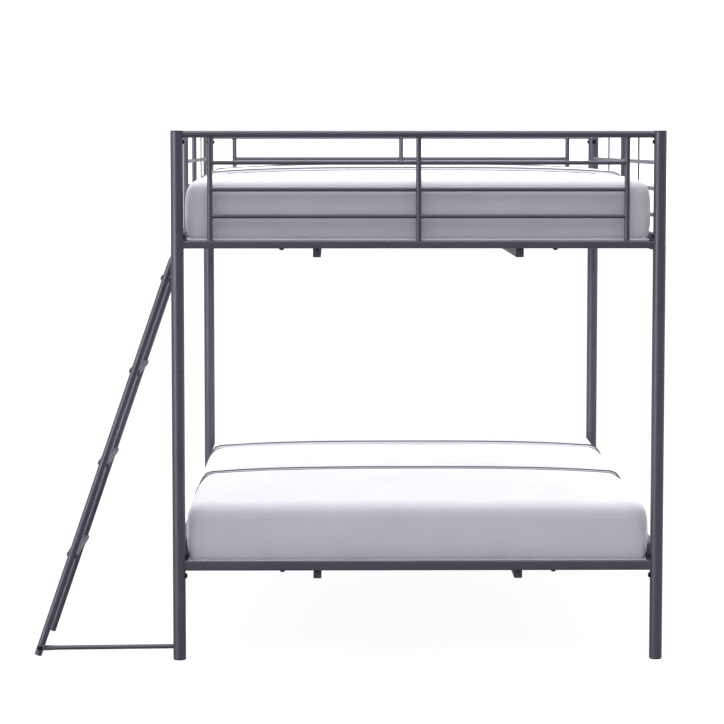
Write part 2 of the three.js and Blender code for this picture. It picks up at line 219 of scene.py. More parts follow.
def bar(shape, start, end, section, first=closed_end, last=closed_end, up=None):
    """A straight bar or tube of a section between two points."""
    along = (end - start).normalized()
    across, over = basis(along, up)
    length = (end - start).length
    stations = first(0.0, -1) + last(length, 1)
    rings = [placed(section(inset), start + along * t, across, over) for t, inset in stations]
    return shape.rings(rings)


def sweep(shape, path, section, up=Z):
    """A section carried along an open path of points, kept square to it."""
    rings = []
    count = len(path)
    for i, p in enumerate(path):
        along = path[min(i + 1, count - 1)] - path[max(i - 1, 0)]
        across, over = basis(along, up)
        rings.append(placed(section(), p, across, over))
    return shape.rings(rings)


def turned(shape, profile, origin, axis=Z, count=48, radius_at=None):
    """A profile of (radius, distance) turned about an axis through origin."""
    across, over = basis(axis)
    rings = []
    for row, (radius, distance) in enumerate(profile):
        ring = []
        for i in range(count):
            a = 2 * math.pi * i / count
            r = radius_at(row, radius, a) if radius_at else radius
            centre = origin + axis * distance
            ring.append(centre + across * (r * math.cos(a)) + over * (r * math.sin(a)))
        rings.append(ring)
    return shape.rings(rings)


def round_ring(centre, out, over, radius, sides=8):
    """Points round a centre, in the plane of two directions."""
    turns = [2 * math.pi * k / sides for k in range(sides)]
    return [centre + out * (radius * math.cos(a)) + over * (radius * math.sin(a)) for a in turns]


def bead(shape, loop, size=WELD_R, ripple=WELD_RIPPLE):
    """A weld bead laid along a closed loop of points; without ripple, a plain cord."""
    count = len(loop)
    middle = sum(loop, Vector()) / count
    run, lengths = 0.0, []
    for i in range(count):
        lengths.append(run)
        run += (loop[(i + 1) % count] - loop[i]).length
    waves = max(round(run / WELD_PITCH), 6)
    rings = []
    for i, p in enumerate(loop):
        along = (loop[(i + 1) % count] - loop[i - 1]).normalized()
        out = p - middle
        out = (out - along * out.dot(along)).normalized()
        r = size * (1 + ripple * math.sin(2 * math.pi * waves * lengths[i] / run))
        rings.append(round_ring(p, out, along.cross(out), r))
    return shape.rings(rings, loop=True)


def fillet(shape, line, out, size):
    """A short weld along an open line of points, thinned at both ends."""
    rings = []
    for i, p in enumerate(line):
        along = (line[min(i + 1, len(line) - 1)] - line[max(i - 1, 0)]).normalized()
        r = size * (0.35 + 0.65 * math.sin(math.pi * (i + 0.5) / len(line)) ** 0.5)
        rings.append(round_ring(p, out, along.cross(out).normalized(), r))
    return shape.rings(rings)


def on_plane(section, centre, across, up):
    """Where a bar's outline meets a flat face."""
    return placed(section(), centre, across, up)


def on_round(section, centre, along, through, axis, radius, up=None):
    """Where a bar's outline, running along, meets a round tube."""
    across, over = basis(along, up)
    along = along.normalized()
    loop = []
    for p in placed(section(), centre, across, over):
        rel = p - through
        up_part = axis * rel.dot(axis)
        flat = rel - up_part
        side = flat - along * flat.dot(along)
        reach = math.sqrt(max(radius**2 - side.length_squared, 0.0))
        loop.append(through + up_part + side - along * reach)
    return loop


def hexed(socket_rows, apothem):
    """Radius function that draws some rows of a turned profile as a hexagon."""

    def radius_at(row, radius, angle):
        if row not in socket_rows:
            return radius
        sector = (angle % (math.pi / 3)) - math.pi / 6
        return radius * apothem / math.cos(sector)

    return radius_at


def bolt(shape, foot, axis, size=1.0):
    """A washer and a domed head with a hexagon socket, standing on foot along axis."""
    washer = [
        (0.0005, -0.001),
        (0.0074, -0.001),
        (0.0078, 0.0),
        (0.0078, 0.0008),
        (0.0074, 0.0012),
        (0.0062, 0.0012),
    ]
    head = [
        (0.0060, 0.0014),
        (0.0061, 0.0022),
        (0.0056, 0.0034),
        (0.0045, 0.0044),
        (0.0034, 0.0049),
    ]
    socket = [(0.0027, 0.0050), (0.0025, 0.0047), (0.0024, 0.0024), (0.0004, 0.0022)]
    profile = [(r * size, d * size) for r, d in washer + head + socket]
    first = len(washer + head)
    turned(shape, profile, foot, axis, 24, hexed(range(first, first + 3), 0.93))


# ---- Materials ----


def new_material(name):
    material = bpy.data.materials.new(name)
    material.use_nodes = True
    tree = material.node_tree
    shader = tree.nodes["Principled BSDF"]
    return material, tree, shader


def add(tree, kind, **values):
    """A node with its settings: names of sockets set inputs, other names set properties."""
    node = tree.nodes.new(kind)
    for key, value in values.items():
        socket = key.replace("_", " ")
        if hasattr(node, key):
            setattr(node, key, value)
        else:
            node.inputs[socket].default_value = value
    return node


def set_inputs(node, values):
    for name, value in values.items():
        node.inputs[name].default_value = value


def feed(tree, value, socket):
    """Links an output to a socket, or gives the socket a plain value."""
    if isinstance(value, bpy.types.NodeSocket):
        tree.links.new(value, socket)
    else:
        socket.default_value = value


def maths(tree, operation, *values):
    node = add(tree, "ShaderNodeMath", operation=operation)
    for socket, value in zip(node.inputs, values):
        feed(tree, value, socket)
    return node.outputs[0]


def mixed(tree, factor, first, second, blend="MIX"):
    """A colour mixed from two others, which sit at inputs 6 and 7 of the node."""
    node = add(tree, "ShaderNodeMix", data_type="RGBA", blend_type=blend)
    for index, value in ((0, factor), (6, first), (7, second)):
        feed(tree, value, node.inputs[index])
    return node.outputs[2]


def ramp(tree, source, stops):
    node = tree.nodes.new("ShaderNodeValToRGB")
    tree.links.new(source, node.inputs["Fac"])
    elements = node.color_ramp.elements
    for element, (place, colour) in zip(elements, (stops[0], stops[-1])):
        element.position, element.color = place, (*colour, 1)
    for place, colour in stops[1:-1]:
        elements.new(place).color = (*colour, 1)
    return node.outputs["Color"]


def texture(tree, kind, **values):
    """The factor of a texture laid out in the object's own space."""
    place = tree.nodes.get("Texture Coordinate") or tree.nodes.new("ShaderNodeTexCoord")
    node = add(tree, kind, **values)
    tree.links.new(place.outputs["Object"], node.inputs["Vector"])
    return node.outputs["Fac"]


def noise_texture(tree, scale, detail, roughness=0.5):
    return texture(
        tree, "ShaderNodeTexNoise", Scale=scale, Detail=detail, Roughness=roughness
    )


def wave(tree, direction, scale):
    return texture(
        tree,
        "ShaderNodeTexWave",
        wave_type="BANDS",
        bands_direction=direction,
        Scale=scale,
        Distortion=0.6,
        Detail=1.0,
        Detail_Scale=2.0,
    )


def bump(tree, height, distance, strength, normal=None):
    node = add(tree, "ShaderNodeBump", Strength=strength, Distance=distance)
    tree.links.new(height, node.inputs["Height"])
    if normal:
        tree.links.new(normal, node.inputs["Normal"])
    return node.outputs["Normal"]


def painted_steel():
    """Slate powder coat: orange peel, fine speckle and a faint drift of colour and gloss."""
    material, tree, shader = new_material("slate_powder_coat")
    drift = noise_texture(tree, 7.0, 4.0)
    colour = ramp(
        tree,
        drift,
        [
            (0.25, (0.092, 0.092, 0.122)),
            (0.5, (0.100, 0.100, 0.132)),
            (0.75, (0.109, 0.109, 0.143)),
        ],
    )
    grain = noise_texture(tree, 900.0, 2.0)
    speckle = ramp(tree, grain, [(0.42, (0.9,) * 3), (0.62, (1.08,) * 3)])
    speckled = mixed(tree, 0.6, colour, speckle, "MULTIPLY")
    tree.links.new(speckled, shader.inputs["Base Color"])
    gloss = ramp(tree, noise_texture(tree, 25.0, 4.0), [(0.3, (0.36,) * 3), (0.7, (0.48,) * 3)])
    tree.links.new(gloss, shader.inputs["Roughness"])
    peel = bump(tree, noise_texture(tree, 420.0, 2.0), 0.0002, 0.35)
    tree.links.new(peel, shader.inputs["Normal"])
    set_inputs(shader, {"Metallic": 0.25, "Specular IOR Level": 0.55})
    return material


def black_plastic(name, tone, roughness, metallic):
    """Moulded plastic or blackened fasteners, with a fine grain."""
    material, tree, shader = new_material(name)
    colour = ramp(
        tree,
        noise_texture(tree, 60.0, 4.0),
        [(0.3, tuple(0.8 * t for t in tone)), (0.7, tuple(1.25 * t for t in tone))],
    )
    tree.links.new(colour, shader.inputs["Base Color"])
    gloss = ramp(
        tree,
        noise_texture(tree, 200.0, 3.0),
        [(0.3, (roughness - 0.06,) * 3), (0.7, (roughness + 0.08,) * 3)],
    )
    tree.links.new(gloss, shader.inputs["Roughness"])
    grain = bump(tree, noise_texture(tree, 1500.0, 2.0), 0.0001, 0.4)
    tree.links.new(grain, shader.inputs["Normal"])
    shader.inputs["Metallic"].default_value = metallic
    return material


def mattress_fabric(name, tone):
    """Knitted mattress cover: fine crossed ribs, soft blotches, faint sheen."""
    material, tree, shader = new_material(name)
    blotch = ramp(
        tree,
        noise_texture(tree, 9.0, 5.0, 0.6),
        [(0.3, tuple(0.965 * t for t in tone)), (0.7, tuple(min(1.02 * t, 1) for t in tone))],
    )
    ribs = maths(tree, "MULTIPLY", wave(tree, "X", 190.0), wave(tree, "Y", 190.0))
    knit = maths(tree, "ADD", ribs, maths(tree, "MULTIPLY", wave(tree, "Z", 190.0), 0.6))
    shade = ramp(tree, knit, [(0.0, (0.95,) * 3), (0.6, (1.0,) * 3)])
    knitted = mixed(tree, 0.8, blotch, shade, "MULTIPLY")
    tree.links.new(knitted, shader.inputs["Base Color"])
    soft = bump(tree, noise_texture(tree, 16.0, 3.0), 0.004, 0.10)
    tree.links.new(bump(tree, knit, 0.0005, 0.5, soft), shader.inputs["Normal"])
    set_inputs(shader, {"Roughness": 0.93, "Specular IOR Level": 0.2})
    set_inputs(shader, {"Sheen Weight": 0.12, "Sheen Roughness": 0.5})
    return material


STEEL = painted_steel()
PLASTIC = black_plastic("black_cap_plastic", (0.020, 0.020, 0.024), 0.5, 0.0)
BOLT = black_plastic("black_bolt_finish", (0.012, 0.012, 0.015), 0.34, 0.6)
FABRIC = mattress_fabric("white_mattress_knit", (0.79, 0.79, 0.83))
PIPING = mattress_fabric("white_mattress_piping", (0.84, 0.84, 0.86))
# a dark cord tone: painted shade of the creases where the seams pull into the cover
SEAM_SHADE = mattress_fabric("painted_seam_shade", (0.15, 0.15, 0.165))


def steel(shape, name, *nodes):
    return make(shape, name, STEEL, nodes=nodes)


# ---- Posts ----

EDGE = 0.0007
NECK_LENGTH = 0.03  # of the lower post, inside the upper one
SHOULDER = POST_SPLIT - 0.0003
GLIDE_LIP = 0.0025  # what the foot's glide shows below the tube
PIPE_BORE = POST_R - TUBE_WALL


def lower_post_profile():
    return [
        (PIPE_BORE, 0.02),
        (PIPE_BORE, 0.0032),
        (POST_R - EDGE, GLIDE_LIP),
        (POST_R, GLIDE_LIP + EDGE),
        (POST_R, GLIDE_LIP + EDGE + HOLD),
        (POST_R, SHOULDER - EDGE - HOLD),
        (POST_R, SHOULDER - EDGE),
        (POST_R - EDGE / 3, SHOULDER - EDGE / 3),
        (POST_R - EDGE, SHOULDER),
        (PIPE_BORE - 0.0004, SHOULDER),
        (PIPE_BORE - 0.0004, POST_SPLIT + NECK_LENGTH),
        (POST_R - 2 * TUBE_WALL, POST_SPLIT + NECK_LENGTH),
        (0.001, POST_SPLIT + NECK_LENGTH),
    ]


def upper_post_profile():
    return [
        (PIPE_BORE, POST_SPLIT + 0.02),
        (PIPE_BORE, POST_SPLIT + EDGE / 2),
        (POST_R - EDGE, POST_SPLIT),
        (POST_R - EDGE / 3, POST_SPLIT + EDGE / 3),
        (POST_R, POST_SPLIT + EDGE),
        (POST_R, POST_SPLIT + EDGE + HOLD),
        (POST_R, POST_TOP - EDGE - HOLD),
        (POST_R, POST_TOP - EDGE),
        (POST_R - EDGE, POST_TOP),
        (PIPE_BORE, POST_TOP),
        (PIPE_BORE, POST_TOP - 0.02),
    ]


def cap_profile():
    return [
        (POST_R - 0.0016, BED_TOP - 0.018),
        (POST_R - 0.0016, BED_TOP - 0.0025),
        (POST_R - 0.0004, BED_TOP - 0.0025),
        (POST_R, BED_TOP - 0.0019),
        (POST_R - 0.0002, BED_TOP - 0.0008),
        (POST_R - 0.0012, BED_TOP - 0.0001),
        (POST_R - 0.0030, BED_TOP),
        (0.004, BED_TOP),
        (0.001, BED_TOP),
    ]


def glide_profile():
    return [
        (0.001, 0.0),
        (POST_R - 0.0035, 0.0),
        (POST_R - 0.0014, 0.0006),
        (POST_R - 0.0006, 0.0020),
        (POST_R - 0.0006, 0.0030),
        (PIPE_BORE - 0.0002, 0.0032),
        (PIPE_BORE - 0.0002, 0.016),
        (0.001, 0.016),
    ]


def build_posts():
    for end, sy in ENDS.items():
        for side, sx in SIDES.items():
            place = f"{end}_{side}"
            low, high, cap, glide = (
                turned(Shape(), profile, at(sx * POST_X, sy * POST_Y, 0), count=64)
                for profile in (
                    lower_post_profile(),
                    upper_post_profile(),
                    cap_profile(),
                    glide_profile(),
                )
            )
            steel(low, f"post_lower_{place}", f"lower_post_{place}")
            steel(high, f"post_upper_{place}", f"upper_post_{place}")
            make(cap, f"cap_{place}", PLASTIC, nodes=[f"post_cap_{place}"])
            make(glide, f"glide_{place}", PLASTIC)


# ---- Ends of the bed ----


def post_through(sx, sy):
    return at(sx * POST_X, sy * POST_Y, 0)


def build_top_tube(end, sy, reach):
    y = sy * POST_Y
    section = circle(TOP_R, 40)
    top = Shape()
    bar(top, at(-reach, y, TOP_Z), at(reach, y, TOP_Z), section)
    for sx in SIDES.values():
        bead(top, on_round(section, at(0, y, TOP_Z), X * sx, post_through(sx, sy), Z, POST_R))
    # the beads are ground level with the post caps
    top.points = [Vector((p.x, p.y, min(p.z, BED_TOP))) for p in top.points]
    steel(top, f"{end}_top_rail", f"{end}_top_tube")


def build_end_uprights(end, y):
    rail_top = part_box(f"{end}_rail_upper")[1].z
    section = circle(GUARD_R)
    for place, x in ((LEFT, -END_UPRIGHT_X), ("middle", 0.0), (RIGHT, END_UPRIGHT_X)):
        post = Shape()
        head = TOP_Z - TOP_R + TUBE_BITE
        bar(post, at(x, y, rail_top - FOOT_BITE), at(x, y, head), section)
        bead(post, on_plane(section, at(x, y, rail_top), X, Y), UPRIGHT_WELD)
        bead(post, on_round(section, at(x, y, 0), Z, at(0, y, TOP_Z), X, TOP_R), UPRIGHT_WELD)
        steel(post, f"{end}_guard_post_{place}", f"{end}_guard_upright_{place}")


def build_end_rods(end, y):
    slim = circle(BAR_R, 28)
    clear = GUARD_R - TUBE_BITE
    for row, z in enumerate(BAR_Z, 1):
        rod = Shape()
        for sx in SIDES.values():
            outer = at(sx * END_UPRIGHT_X, y, 0)
            bar(rod, at(sx * clear, y, z), at(sx * (END_UPRIGHT_X - clear), y, z), slim)
            bead(rod, on_round(slim, at(0, y, z), X * sx, outer, Z, GUARD_R), ROD_WELD)
            bead(rod, on_round(slim, at(0, y, z), X * -sx, at(0, y, 0), Z, GUARD_R), ROD_WELD)
        steel(rod, f"{end}_guard_rod_{row}", f"{end}_guard_bar_{row}")


def build_end_rail(end, sy, bunk, reach):
    y = sy * POST_Y
    low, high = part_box(f"{end}_rail_{bunk}")
    z = (high.z + low.z) / 2
    section = rounded(RAIL_W, high.z - low.z, 0.0025)
    rail = Shape()
    bar(rail, at(-reach, y, z), at(reach, y, z), section)
    for sx in SIDES.values():
        bead(rail, on_round(section, at(0, y, z), X * sx, post_through(sx, sy), Z, POST_R))
    steel(rail, f"{end}_cross_rail_{bunk}", f"{end}_rail_{bunk}")


def build_end(end, sy):
    reach = POST_X - POST_R + POST_BITE
    build_top_tube(end, sy, reach)
    build_end_uprights(end, sy * POST_Y)
    build_end_rods(end, sy * POST_Y)
    for bunk in BUNKS:
        build_end_rail(end, sy, bunk, reach)


# ---- Sides of the bed ----

LEDGE_REACH, LEDGE_RISE, LEDGE_T = 0.018, 0.016, 0.0025
LEDGE_HALF = 0.93  # half its length


def build_side_rail(bunk, side, sx):
    name = f"side_rail_{bunk}_{side}"
    low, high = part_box(name)
    z = (high.z + low.z) / 2
    section = rounded(RAIL_W, high.z - low.z, 0.003)
    reach = POST_Y - POST_R + POST_BITE
    x = sx * POST_X
    rail = Shape()
    bar(rail, at(x, -reach, z), at(x, reach, z), section)
    for sy in ENDS.values():
        bead(rail, on_round(section, at(x, 0, z), Y * sy, post_through(sx, sy), Z, POST_R))
    # the angle iron inside, that the slats lie on
    slats_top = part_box(f"slat_deck_{bunk}")[1].z
    ledge_top = slats_top - 0.0103
    inner = POST_X - RAIL_W / 2
    shelf_x, wall_x = inner - LEDGE_REACH / 2 + 0.0004, inner - LEDGE_T / 2 + 0.0006
    wall_z = max(ledge_top, low.z + LEDGE_RISE) - LEDGE_RISE / 2
    for leg, cx, cz in (
        (rounded(LEDGE_REACH, LEDGE_T, 0.0006), shelf_x, ledge_top - LEDGE_T / 2),
        (rounded(LEDGE_T, LEDGE_RISE, 0.0006), wall_x, wall_z),
    ):
        bar(rail, at(sx * cx, -LEDGE_HALF, cz), at(sx * cx, LEDGE_HALF, cz), leg)
    steel(rail, f"bed_side_{bunk}_{side}", name)


def bent_tube_path(x, start, bottom, rear):
    """Up from the side rail, over in a quarter bend, and level to the rear post."""
    bend, steps = 0.028, 12
    arc = []
    for i in range(steps + 1):
        a = math.pi / 2 * i / steps
        arc.append(at(x, start + bend * (1 - math.cos(a)), TOP_Z - bend + bend * math.sin(a)))
    upright = [at(x, start, bottom - FOOT_BITE), at(x, start, TOP_Z - bend - 0.002)]
    return upright + arc + [at(x, rear, TOP_Z)]


def build_guard(label, side, sx, start, straps):
    """A side guard from start to the rear post: top tube, uprights, straps and bars."""
    x = sx * POST_X
    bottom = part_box(f"side_rail_upper_{side}")[1].z
    rear = POST_Y - POST_R + POST_BITE
    leaves_entry = start > -POST_Y + POST_R
    front_post, rear_post = post_through(sx, -1), post_through(sx, 1)
    section = circle(GUARD_R)
    top = Shape()
    level = at(x, 0, TOP_Z)
    nodes = [f"{label}_top_tube"]
    if leaves_entry:
        sweep(top, bent_tube_path(x, start, bottom, rear), section, up=X)
        bead(top, on_plane(section, at(x, start, bottom), X, Y), UPRIGHT_WELD)
        nodes.append(f"{label}_upright_end")
    else:
        bar(top, at(x, start - POST_BITE, TOP_Z), at(x, rear, TOP_Z), section)
        bead(top, on_round(section, level, -Y, front_post, Z, POST_R), UPRIGHT_WELD)
    bead(top, on_round(section, level, Y, rear_post, Z, POST_R), UPRIGHT_WELD)
    steel(top, f"{label}_rail", *nodes)

    middle = Shape()
    bar(middle, at(x, 0, bottom - FOOT_BITE), at(x, 0, TOP_Z - GUARD_R + TUBE_BITE), section)
    bead(middle, on_plane(section, at(x, 0, bottom), X, Y), UPRIGHT_WELD)
    bead(middle, on_round(section, at(x, 0, 0), Z, level, Y, GUARD_R), UPRIGHT_WELD)
    steel(middle, f"{label}_post_middle", f"{label}_upright_middle")

    for place, y in straps.items():
        strap = Shape()
        flat = rounded(0.020, 0.004, 0.0008)
        bar(strap, at(x, y, bottom - 0.001), at(x, y, TOP_Z - GUARD_R + 0.002), flat, up=X)
        bead(strap, on_plane(flat, at(x, y, bottom), Y, X), FLAT_WELD)
        steel(strap, f"{label}_flat_{place}", f"{label}_strap_{place}")

    slim = circle(BAR_R, 28)
    clear = GUARD_R - TUBE_BITE
    begin = start + (clear if leaves_entry else -POST_BITE)
    front_end = (at(x, start, 0), GUARD_R) if leaves_entry else (front_post, POST_R)
    for row, z in enumerate(BAR_Z, 1):
        rod, here = Shape(), at(x, 0, z)
        for first, last in ((begin, -clear), (clear, rear)):
            bar(rod, at(x, first, z), at(x, last, z), slim)
        for sign in (-1, 1):
            bead(rod, on_round(slim, here, Y * sign, at(x, 0, 0), Z, GUARD_R), ROD_WELD)
        bead(rod, on_round(slim, here, Y, rear_post, Z, POST_R), ROD_WELD)
        bead(rod, on_round(slim, here, -Y, front_end[0], Z, front_end[1]), ROD_WELD)
        steel(rod, f"{label}_rod_{row}", f"{label}_bar_{row}")


# ---- Slat decks ----

SLATS, SLAT_SPAN = 13, 0.9  # how many, and the place of the last ones
SLAT_W, SLAT_T = 0.030, 0.010
BEARER_X, BEARER_W = 0.3, 0.024


def build_deck(bunk):
    low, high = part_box(f"slat_deck_{bunk}")
    deck = Shape()
    slat = rounded(SLAT_W, SLAT_T, 0.0022)
    slat_ys = [-SLAT_SPAN + 2 * SLAT_SPAN * i / (SLATS - 1) for i in range(SLATS)]
    end_x, slat_z = POST_X - RAIL_W / 2 - 0.001, high.z - SLAT_T / 2
    for y in slat_ys:
        bar(deck, at(-end_x, y, slat_z), at(end_x, y, slat_z), slat, open_end, open_end)
    bearer_top = high.z - SLAT_T
    section = rounded(BEARER_W, bearer_top - low.z, 0.0025)
    end_y, z = high.y - CENTRE.y, (bearer_top + low.z) / 2
    for sx in SIDES.values():
        x = sx * BEARER_X
        bar(deck, at(x, -end_y, z), at(x, end_y, z), section)
        for y in slat_ys:
            for edge in (-1, 1):
                # short welds where a slat crosses the bearer
                a = at(x + edge * 0.0125, y - 0.011, bearer_top - 0.0002)
                b = at(x + edge * 0.0125, y + 0.011, bearer_top - 0.0002)
                bar(deck, a, b, circle(0.0016, 8))
    steel(deck, f"slat_frame_{bunk}", f"slat_deck_{bunk}")


# ---- Ladder ----

lowest_tread, highest_tread = node_middle("ladder_tread_1"), node_middle("ladder_tread_4")
LADDER_WAY = (highest_tread - lowest_tread).normalized()
LADDER_SQUARE = LADDER_WAY.cross(Y)  # across a rail, square to the treads
LADDER_FOOT_Z = 0.0039
TAB_W, TAB_T = 0.026, 0.0046  # the rails' flattened tops
TAB_FACE = -(POST_X + RAIL_W / 2 + 0.0003)  # where they lie on the side rail


def ladder_x(z):
    return lowest_tread.x - CENTRE.x + (z - lowest_tread.z) * LADDER_WAY.x / LADDER_WAY.z


def ladder_y(end):
    return node_middle(f"ladder_rail_{end}").y - CENTRE.y


def superellipse(width, height, power, count=32):
    """A section between a round tube and a flattened one."""

    def ring(inset=0.0):
        out = []
        for i in range(count):
            a = 2 * math.pi * i / count
            c, s = math.cos(a), math.sin(a)
            out.append(
                (
                    math.copysign(abs(c) ** (2 / power), c) * (width / 2 - inset),
                    math.copysign(abs(s) ** (2 / power), s) * (height / 2 - inset),
                )
            )
        return out

    return ring


def build_ladder_rail(end):
    """A tube whose top is pressed flat and bent up against the side rail."""
    y = ladder_y(end)
    top_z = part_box(f"ladder_rail_{end}")[1].z
    foot = at(ladder_x(LADDER_FOOT_Z), y, LADDER_FOOT_Z)
    across, over = basis(LADDER_WAY, X)
    rings = [
        placed(circle(LADDER_R)(inset), foot + LADDER_WAY * t, across, over)
        for t, inset in open_end(0.0, -1)
    ]
    # the tube stays round nearly to its top, then turns upright as a flat tab:
    # place across, height, flatness
    tab_x = TAB_FACE - TAB_T / 2
    path = [
        (ladder_x(1.178), 1.178, 0.0),
        (ladder_x(1.188), 1.188, 0.04),
        (ladder_x(1.197), 1.197, 0.25),
        (ladder_x(1.205), 1.205, 0.62),
        (tab_x - 0.0003, 1.2125, 0.93),
        (tab_x, 1.220, 1.0),
        (tab_x, 1.230, 1.0),
        (tab_x, top_z - 0.0030, 1.0),
        (tab_x, top_z - 0.0008, 1.0),
    ]
    points = [at(px, y, pz) for px, pz, flat in path]
    for i, (px, pz, flat) in enumerate(path):
        before = points[i - 1] if i else points[0] - LADDER_WAY
        after = points[i + 1] if i + 1 < len(points) else points[i] + Z
        side, up = basis(after - before, X)
        width = 2 * LADDER_R + (TAB_W - 2 * LADDER_R) * flat
        depth = 2 * LADDER_R + (TAB_T - 2 * LADDER_R) * flat
        rings.append(placed(superellipse(width, depth, 2 + 4 * flat)(), points[i], side, up))
    last = rings[-1]
    middle = sum(last, Vector()) / len(last)
    rings.append([middle + (p - middle) * 0.93 + Z * 0.0008 for p in last])
    rail = Shape()
    rail.rings(rings)
    return rail


TREAD_DEPTH, TREAD_T = 0.032, 0.014


def build_tread(row, front, rear):
    """A flat rectangular tube between the rails, with ribs on top and fillet welds."""
    middle = node_middle(f"ladder_tread_{row}")
    section = rounded(TREAD_DEPTH, TREAD_T, 0.0026)
    bite = LADDER_R - 0.0036
    step = Shape()
    ends = [Vector((middle.x, CENTRE.y + y, middle.z)) for y in (front + bite, rear - bite)]
    bar(step, *ends, section, up=LADDER_WAY)
    for k in range(-2, 3):
        lift = LADDER_WAY * (TREAD_T / 2 - 0.0001) + LADDER_SQUARE * (k * 0.0058)
        bar(step, ends[0] + lift + Y * 0.012, ends[1] + lift - Y * 0.012, circle(0.0009, 8))
    for y, sign in ((front, 1), (rear, -1)):
        for face in (1, -1):
            line = []
            for k in range(-8, 9):
                a = 0.0082 * k / 8
                reach = sign * math.sqrt(LADDER_R**2 - a**2)
                on_face = LADDER_SQUARE * a + LADDER_WAY * (face * TREAD_T / 2)
                line.append(Vector((middle.x, CENTRE.y + y + reach, middle.z)) + on_face)
            fillet(step, line, LADDER_WAY * face, 0.0013)
    steel(step, f"ladder_step_{row}", f"ladder_tread_{row}")


def build_ladder():
    for end in ENDS:
        rail = build_ladder_rail(end)
        steel(rail, f"ladder_side_{end}", f"ladder_rail_{end}")
    for row in (1, 2, 3, 4):
        build_tread(row, ladder_y(FRONT), ladder_y(REAR))
    plugs = Shape()
    r = LADDER_R - TUBE_WALL - 0.0001
    profile = [
        (0.001, 0.0005),
        (r - 0.002, 0.0003),
        (r - 0.0004, 0.0008),
        (r, 0.0018),
        (r, 0.02),
        (0.001, 0.02),
    ]
    for end in ENDS:
        foot = at(ladder_x(LADDER_FOOT_Z), ladder_y(end), LADDER_FOOT_Z)
        turned(plugs, profile, foot, LADDER_WAY, 32)
    make(plugs, "ladder_foot_plugs", PLASTIC)


BRACE_FOOT_Z = 0.028
BRACE_POST_Y, BRACE_POST_Z = -0.955, 0.038
BRACE_FLAT_W, BRACE_FLAT_T = 0.0165, 0.005


def brace_face_y():
    return ladder_y(FRONT) - LADDER_R - 0.0003


def build_brace():
    """A thin tube from the post to the ladder's foot, where it is pressed flat and bolted."""
    bolt_x = ladder_x(BRACE_FOOT_Z)
    flat_y = brace_face_y() - BRACE_FLAT_T / 2
    start = at(bolt_x + 0.017, flat_y, BRACE_FOOT_Z)
    end = at(-POST_X, BRACE_POST_Y, BRACE_POST_Z)
    # distance past the bolt, flatness, size; the path bends from the flat to the tube's line
    stations = [
        (-0.0090, 1.0, 0.86),
        (-0.0084, 1.0, 0.98),
        (-0.0070, 1.0, 1.0),
        (0.012, 1.0, 1.0),
        (0.022, 0.97, 1.0),
        (0.030, 0.75, 1.0),
        (0.038, 0.40, 1.0),
        (0.046, 0.12, 1.0),
        (0.054, 0.0, 1.0),
        (0.060, 0.0, 1.0),
        (0.070, 0.0, 1.0),
        (-POST_X - POST_R + 0.012 - bolt_x, 0.0, 1.0),
    ]
    rings = []
    for run, flat, size in stations:
        x = bolt_x + run
        along = start.lerp(end, max((CENTRE.x + x - start.x) / (end.x - start.x), 0.0))
        height = (2 * BRACE_R + (BRACE_FLAT_W - 2 * BRACE_R) * flat) * size
        depth = (2 * BRACE_R + (BRACE_FLAT_T - 2 * BRACE_R) * flat) * size
        centre = Vector((CENTRE.x + x, along.y, along.z))
        rings.append(placed(superellipse(depth, height, 2 + 4 * flat)(), centre, Y, Z))
    brace = Shape()
    brace.rings(rings)
    line = end - start
    meets = on_round(circle(BRACE_R), end - line * 0.2, line, post_through(-1, -1), Z, POST_R)
    bead(brace, meets, FLAT_WELD)
    steel(brace, "ladder_floor_brace", "ladder_brace")


# ---- Bolts ----

# heights of the bolts on each post's inner side, with their sizes
POST_BOLTS = {1.5415: 1.0, 1.263: 1.0, 0.311: 1.0, 0.253: 1.2}
SIDE_BOLT_Z = 1.5415
RAIL_BOLTS_X, RAIL_BOLT_SIZE = (-0.404, -0.3, 0.3, 0.404), 1.15
LADDER_BOLT_Z, LADDER_BOLT_SIZE = 1.243, 0.95


def build_bolts():
    for end, sy in ENDS.items():
        for side, sx in SIDES.items():
            shape = Shape()
            inner = sx * (POST_X - POST_R)
            for z, size in POST_BOLTS.items():
                bolt(shape, at(inner + sx * SINK, sy * POST_Y, z), X * -sx, size)
            side_foot = at(sx * POST_X, sy * (POST_Y - POST_R + SINK), SIDE_BOLT_Z)
            bolt(shape, side_foot, Y * -sy)
            make(shape, f"post_bolts_{end}_{side}", BOLT)
    for end, sy in ENDS.items():
        shape = Shape()
        for bunk in BUNKS:
            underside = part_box(f"{end}_rail_{bunk}")[0].z
            for x in RAIL_BOLTS_X:
                bolt(shape, at(x, sy * POST_Y, underside + SINK), -Z, RAIL_BOLT_SIZE)
        make(shape, f"rail_bolts_{end}", BOLT)
    shape = Shape()
    for end in ENDS:
        head = at(TAB_FACE - TAB_T + 0.0003, ladder_y(end), LADDER_BOLT_Z)
        bolt(shape, head, -X, LADDER_BOLT_SIZE)
    foot = at(ladder_x(BRACE_FOOT_Z), brace_face_y() - BRACE_FLAT_T + 0.0003, BRACE_FOOT_Z)
    bolt(shape, foot, -Y, LADDER_BOLT_SIZE)
    make(shape, "ladder_bolts", BOLT)


# ---- Mattresses ----

HALF_W, HALF_L = 0.687, 0.952
SEAM_Y = 0.3175
SEAM_DEPTH, SEAM_REACH = 0.036, 0.024
SEAM_STEEP = 0.008  # reach of a seam's steep far side
CREST = 0.56  # how far from the middle the outer sections start to fall
EDGE_BAND = 0.08  # the width along the edges that the border's swelling moves
SEAM_SHADE_R, PIPING_R, PIPING_Z = 0.0021, 0.0042, 0.0045
SAME = 1e-6  # nearer than this, two places are one
COVER_FRAMES, COVER_RISE = 16, 0.004  # the cloth's run, and the most that it may swell
LEVEL_NEAR = {"upper": 1.0, "lower": 0.0}


